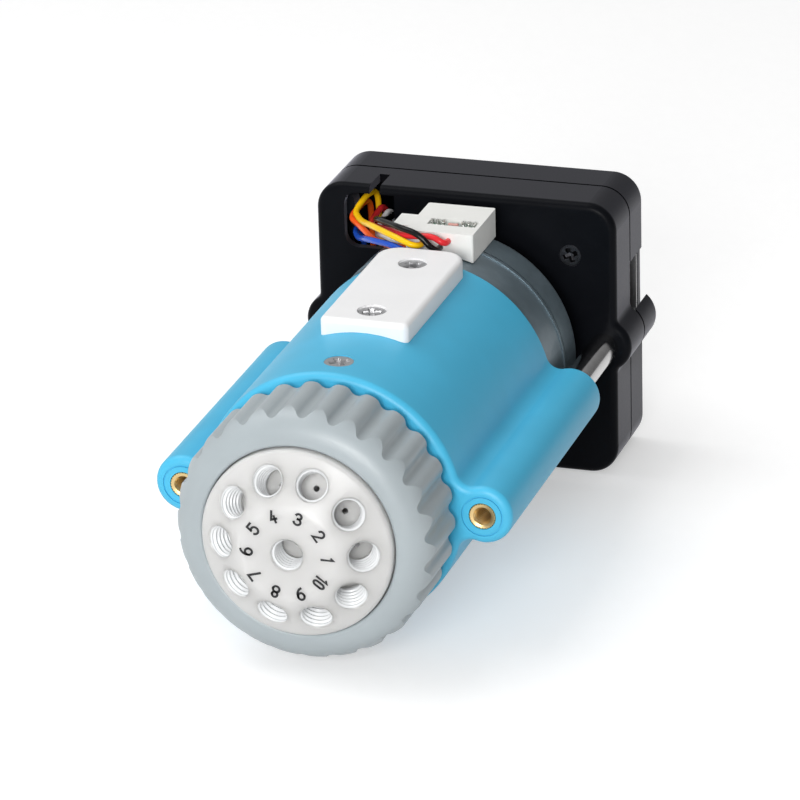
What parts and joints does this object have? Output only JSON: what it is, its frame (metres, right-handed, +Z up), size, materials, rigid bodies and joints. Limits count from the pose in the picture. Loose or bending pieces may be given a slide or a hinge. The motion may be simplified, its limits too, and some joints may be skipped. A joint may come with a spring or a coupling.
{
  "type": "selector valve",
  "caption": "Motor-driven rotary selector valve: a ring of threaded ports under a fluted cap nut, a blue housing with a planetary gear and a controller box behind.",
  "frame": {"origin": "on the valve axis in the front face of the housing, midway between the two brass inserts", "axes": "-Y out of the valve head along the valve axis, +X towards the first port, +Z up"},
  "size_m": [0.074, 0.1403, 0.0619],
  "materials": {
    "blue_housing": "blue satin finish with bright edges",
    "brass": "knurled brass",
    "head_white": "white, slightly translucent",
    "cap_grey": "translucent grey",
    "steel": "ground steel",
    "spring_steel": "spring steel",
    "seal_plastic": "filled sealing plastic",
    "cup_plastic": "unfilled engineering plastic",
    "bronze": "sintered bronze",
    "plate_aluminium": "turned aluminium",
    "cover_white": "white moulded plastic",
    "disc_black": "black plastic",
    "sensor_black": "black moulded plastic",
    "board_green": "green circuit board",
    "gear_plastic": "white gear plastic",
    "gear_brass": "cut brass",
    "motor_steel": "plated grey steel",
    "seam_dark": "dark steel edge",
    "bobbin_black": "black bobbin plastic",
    "copper": "enamelled copper",
    "magnet": "ferrite magnet",
    "terminal_white": "white moulded plastic",
    "tin": "tinned pins",
    "post_steel": "polished steel",
    "screw_steel": "plated screws",
    "box_black": "black moulded plastic",
    "header_white": "natural connector plastic",
    "socket_metal": "plated sheet",
    "chip_black": "black chips",
    "wire_red": "red insulation",
    "wire_black": "black insulation",
    "wire_yellow": "yellow insulation",
    "wire_white": "white insulation",
    "wire_orange": "orange insulation",
    "wire_blue": "blue insulation"
  },
  "bodies": {
    "frame": {"housing": "blue_housing", "brass_inserts": "brass", "valve_head": "head_white", "locating_pins": "steel", "bearing_outer_race": "steel", "support_plate": "plate_aluminium", "support_bush": "bronze", "plate_screws": "screw_steel", "optical_sensor": "sensor_black", "sensor_board": "board_green", "sensor_cover": "cover_white", "cover_screws": "screw_steel", "housing_screw": "screw_steel", "ring_gear": "gear_plastic", "motor_flange": "plate_aluminium", "motor_front_can": "motor_steel", "motor_rear_can": "motor_steel", "seam_plate": "seam_dark", "coil_bobbins": "bobbin_black", "motor_coils": "copper", "motor_bushes": "bronze", "terminal_cover": "terminal_white", "terminal_board": "board_green", "terminal_pins": "tin", "posts": "post_steel", "post_screws": "screw_steel", "controller_front_shell": "box_black", "controller_rear_cover": "box_black", "case_screws": "screw_steel", "board_screws": "screw_steel", "controller_board": "board_green", "wire_header": "header_white", "data_socket": "socket_metal", "board_components": "chip_black", "red_wire": "wire_red", "black_wire": "wire_black", "yellow_wire": "wire_yellow", "white_wire": "wire_white", "orange_wire": "wire_orange", "blue_wire": "wire_blue"},
    "cap_carrier": {"slip_washer": "seal_plastic"},
    "cap": {"cap_nut": "cap_grey"},
    "rotor": {"valve_rotor": "seal_plastic", "rotor_cup": "cup_plastic", "drive_pin": "steel", "disc_springs": "spring_steel", "output_shaft": "steel", "spacer_washer": "steel", "bearing_inner_race": "steel", "encoder_disc": "disc_black", "planet_carrier": "plate_aluminium", "planet_pins": "steel"},
    "ball_set": {"bearing_balls": "post_steel", "bearing_cage": "gear_brass"},
    "motor_rotor": {"motor_shaft": "steel", "magnet_rotor": "magnet", "sun_gear": "gear_brass"},
    "planet_1": {"planet_gear_1": "gear_plastic"},
    "planet_2": {"planet_gear_2": "gear_plastic"},
    "planet_3": {"planet_gear_3": "gear_plastic"}
  },
  "joints": [
    {"name": "cap_slide", "type": "slide", "parent": "frame", "child": "cap_carrier", "axis": [0, -1, 0], "range_m": [0, 0.0045]},
    {"name": "cap_turn", "type": "hinge", "parent": "cap_carrier", "child": "cap", "pos_m": [0, 0, 0], "axis": [0, -1, 0], "range_deg": [0, 1080]},
    {"name": "rotor_spin", "type": "hinge", "parent": "frame", "child": "rotor", "pos_m": [0, 0, 0], "axis": [0, -1, 0], "continuous": true},
    {"name": "ball_set_spin", "type": "hinge", "parent": "frame", "child": "ball_set", "pos_m": [0, 0, 0], "axis": [0, -1, 0], "continuous": true},
    {"name": "motor_spin", "type": "hinge", "parent": "frame", "child": "motor_rotor", "pos_m": [0, 0, 0], "axis": [0, -1, 0], "continuous": true},
    {"name": "planet_1_spin", "type": "hinge", "parent": "rotor", "child": "planet_1", "pos_m": [0, 0, 0.0135], "axis": [0, -1, 0], "continuous": true},
    {"name": "planet_2_spin", "type": "hinge", "parent": "rotor", "child": "planet_2", "pos_m": [-0.01169, 0, -0.00675], "axis": [0, -1, 0], "continuous": true},
    {"name": "planet_3_spin", "type": "hinge", "parent": "rotor", "child": "planet_3", "pos_m": [0.01169, 0, -0.00675], "axis": [0, -1, 0], "continuous": true}
  ],
  "couplings": [
    {"joint": "cap_slide", "follows": "cap_turn", "m_per_rad": 0.00023873},
    {"joint": "ball_set_spin", "follows": "rotor_spin", "ratio": 0.40625},
    {"joint": "motor_spin", "follows": "rotor_spin", "ratio": 4.5},
    {"joint": "planet_1_spin", "follows": "rotor_spin", "ratio": -2.8},
    {"joint": "planet_2_spin", "follows": "rotor_spin", "ratio": -2.8},
    {"joint": "planet_3_spin", "follows": "rotor_spin", "ratio": -2.8}
  ]
}
